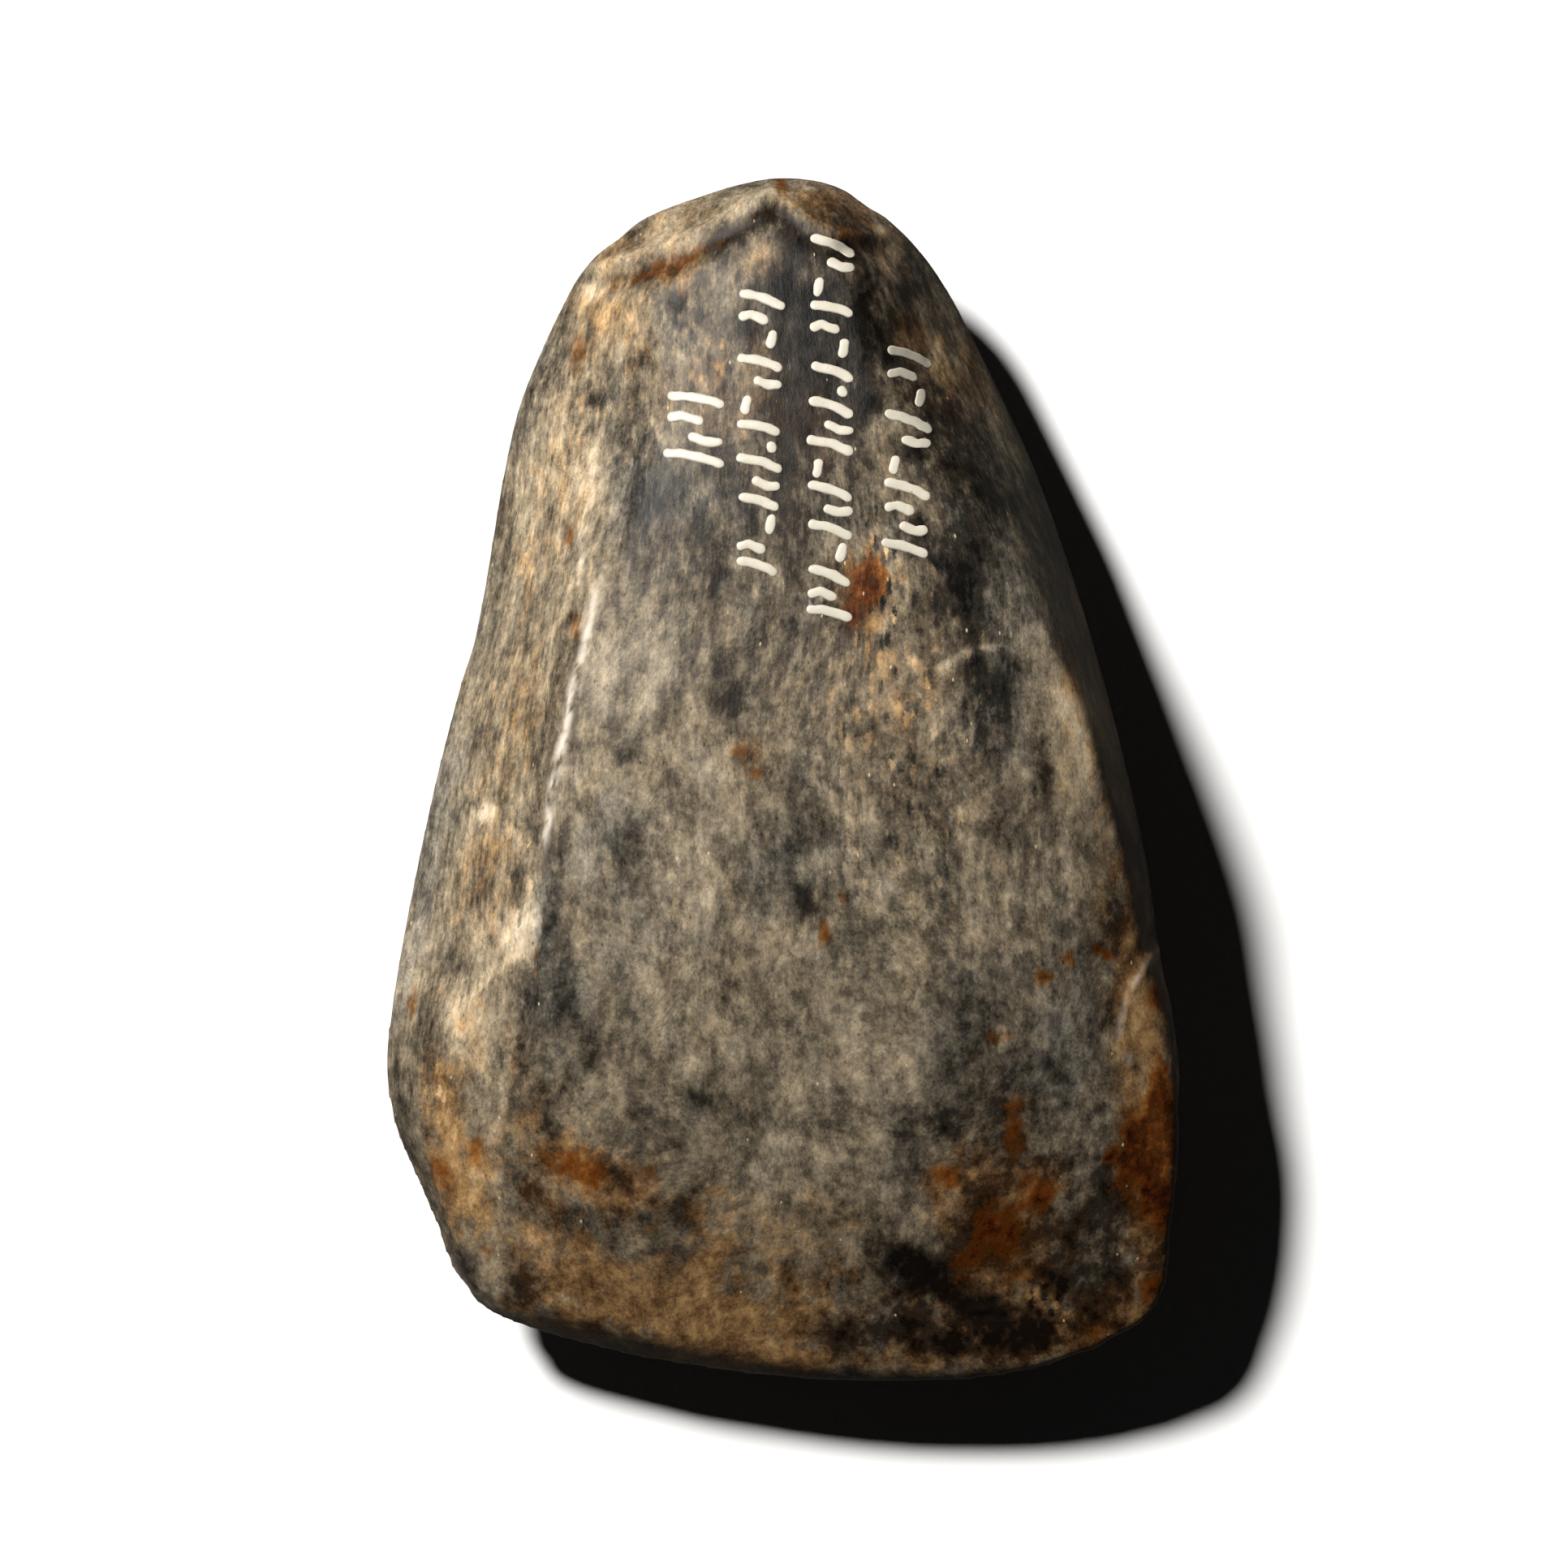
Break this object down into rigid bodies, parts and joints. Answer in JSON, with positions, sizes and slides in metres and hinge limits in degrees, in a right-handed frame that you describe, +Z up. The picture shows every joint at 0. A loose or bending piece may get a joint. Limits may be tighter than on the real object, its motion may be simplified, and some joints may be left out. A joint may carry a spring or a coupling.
{
  "type": "polished stone axe head",
  "caption": "Small ground and polished stone axe head, lens-shaped, with a curved cutting edge, a narrower blunt butt and one broad ground side facet; lies loose on its back face.",
  "frame": {"origin": "middle of the stone's plan at bench level, on the resting flat of its back face", "axes": "+Y from the cutting edge to the butt, +Z up out of the front face, +X to the right seen from above with the butt away"},
  "size_m": [0.0552, 0.084, 0.024],
  "materials": {
    "polished_stone": "ground and polished, mottled grey and brown"
  },
  "bodies": {
    "root": {"axe_head": "polished_stone"}
  },
  "joints": []
}
